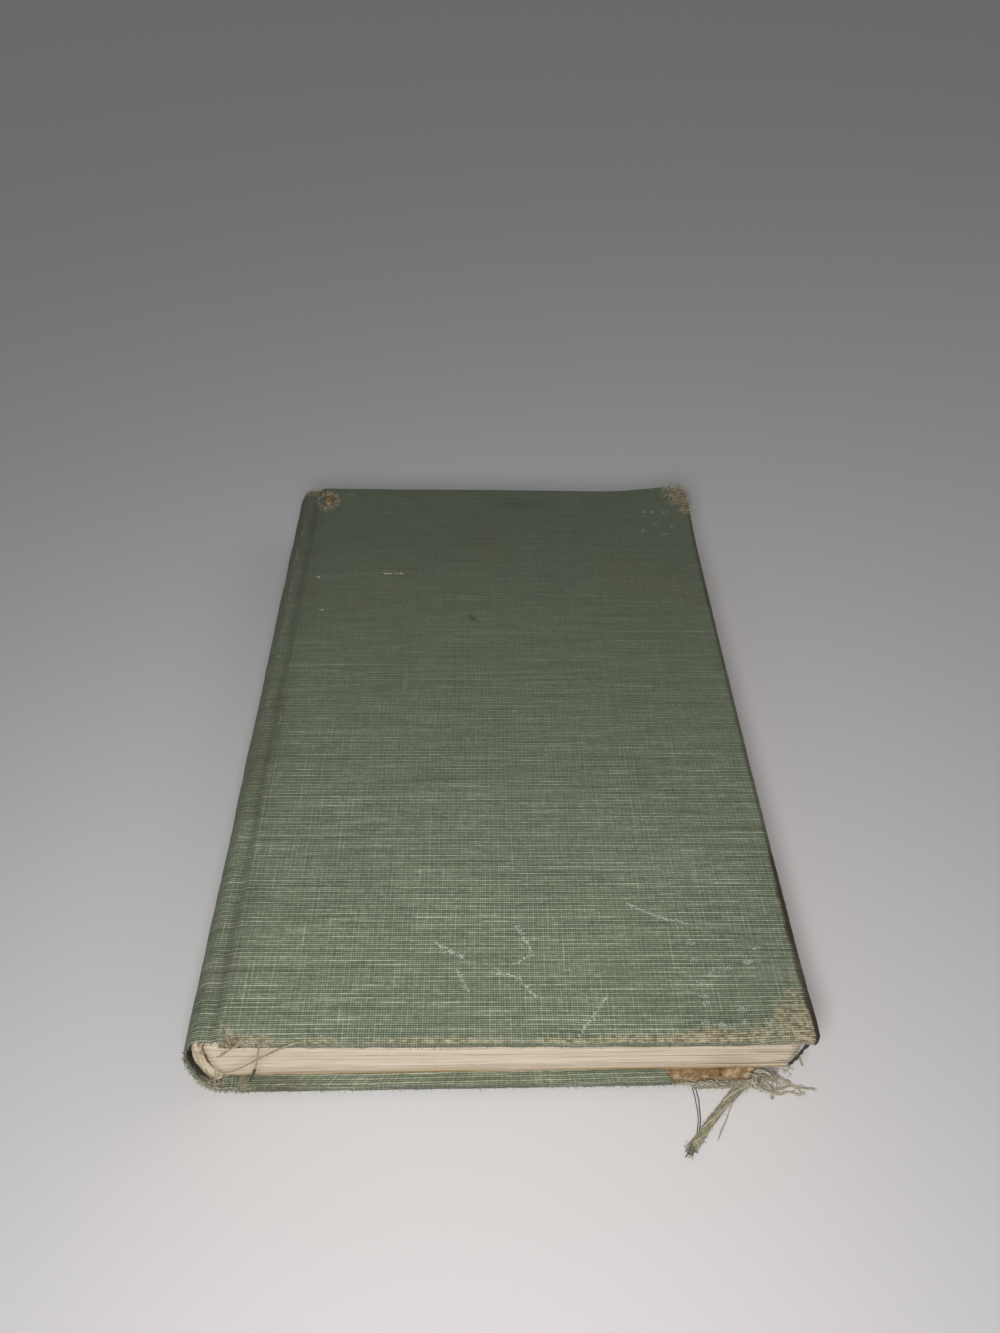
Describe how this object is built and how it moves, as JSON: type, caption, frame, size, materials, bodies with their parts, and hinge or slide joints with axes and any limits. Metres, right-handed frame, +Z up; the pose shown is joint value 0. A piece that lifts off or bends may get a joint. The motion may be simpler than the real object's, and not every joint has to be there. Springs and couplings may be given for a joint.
{
  "type": "hardback book",
  "caption": "Worn cloth-bound hardback book lying on its back cover, with two hinged covers, a rounded hollow spine and a frayed tail edge.",
  "frame": {"origin": "middle of the back cover's underside, on the surface that the closed book lies on", "axes": "+X from the spine to the fore-edge, +Y from the tail to the head of the spine, +Z up from the back cover to the front cover"},
  "size_m": [0.1343, 0.2124, 0.0254],
  "materials": {
    "page_paper": "matte, aged",
    "endpaper": "matte, aged",
    "lining_paper": "matte, glued",
    "gauze": "open weave, glued",
    "board": "matte, fibrous",
    "book_cloth": "linen-grain book cloth, worn"
  },
  "bodies": {
    "text_block": {"text_block": "page_paper", "front_flyleaf": "endpaper", "back_flyleaf": "endpaper", "spine_gauze": "gauze", "spine_lining": "lining_paper", "spine_inlay": "board", "spine_cloth": "book_cloth"},
    "front_cover": {"front_board": "board", "front_cloth": "book_cloth", "front_pastedown": "endpaper"},
    "back_cover": {"back_board": "board", "back_cloth": "book_cloth", "back_pastedown": "endpaper", "frayed_strip": "book_cloth"}
  },
  "joints": [
    {"name": "front_joint", "type": "hinge", "parent": "text_block", "child": "front_cover", "pos_m": [-0.0639, 0, 0.02544], "axis": [0, -1, 0], "range_deg": [0, 178]},
    {"name": "back_joint", "type": "hinge", "parent": "text_block", "child": "back_cover", "pos_m": [-0.0639, 0, 0], "axis": [0, 1, 0], "range_deg": [0, 178]}
  ]
}
